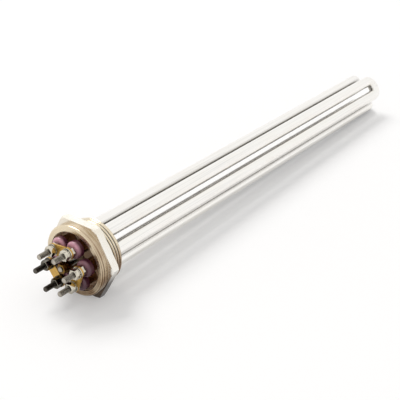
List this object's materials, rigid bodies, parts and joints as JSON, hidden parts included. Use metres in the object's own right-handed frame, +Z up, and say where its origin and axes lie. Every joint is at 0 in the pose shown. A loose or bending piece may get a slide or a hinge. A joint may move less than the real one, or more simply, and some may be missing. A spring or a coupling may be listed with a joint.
{
  "type": "screw plug immersion heater",
  "caption": "Screw plug immersion heater: hairpin heating tubes welded into a hexagon plug with a pipe thread, linked terminals on ceramic bushes in its recess",
  "frame": {"origin": "On the plug's axis, in the plane of the sealing face behind the hexagon, where the thread starts", "axes": "+X along the axis towards the tubes' bends, -X towards the terminals, +Z up, square to the hexagon flat that faces down; the hexagon has two corners on Y"},
  "size_m": [0.436, 0.0636, 0.055],
  "materials": {
    "plug_steel": "turned stainless steel with straw heat tint",
    "tube_steel": "bright polished stainless tube",
    "weld_steel": "stainless weld bead",
    "plated_steel": "bright nickel plate",
    "link_brass": "stamped brass",
    "bush_ceramic": "glazed pink ceramic",
    "magnesia": "compacted magnesia powder",
    "resistance_wire": "oxidised resistance wire",
    "seal_silicone": "cured silicone"
  },
  "bodies": {
    "root": {"screw_plug": "plug_steel", "earth_stud": "plated_steel", "earth_nuts": "plated_steel", "earth_washer": "plated_steel", "weld_beads": "weld_steel", "hairpin_sheath_1": "tube_steel", "hairpin_sheath_2": "tube_steel", "hairpin_sheath_3": "tube_steel", "magnesia_fill_1": "magnesia", "magnesia_fill_2": "magnesia", "magnesia_fill_3": "magnesia", "heating_coil_1": "resistance_wire", "heating_coil_2": "resistance_wire", "heating_coil_3": "resistance_wire", "terminal_pin_1": "plated_steel", "terminal_pin_2": "plated_steel", "terminal_pin_3": "plated_steel", "terminal_pin_4": "plated_steel", "terminal_pin_5": "plated_steel", "terminal_pin_6": "plated_steel", "end_seal_1": "seal_silicone", "end_seal_2": "seal_silicone", "end_seal_3": "seal_silicone", "end_seal_4": "seal_silicone", "end_seal_5": "seal_silicone", "end_seal_6": "seal_silicone", "insulator_bush_1": "bush_ceramic", "insulator_bush_2": "bush_ceramic", "insulator_bush_3": "bush_ceramic", "insulator_bush_4": "bush_ceramic", "insulator_bush_5": "bush_ceramic", "insulator_bush_6": "bush_ceramic", "link_bar_1": "link_brass", "link_bar_2": "link_brass", "link_bar_3": "link_brass", "lower_nuts": "plated_steel", "flat_washers": "plated_steel", "spring_washers": "plated_steel", "top_nuts": "plated_steel"}
  },
  "joints": []
}
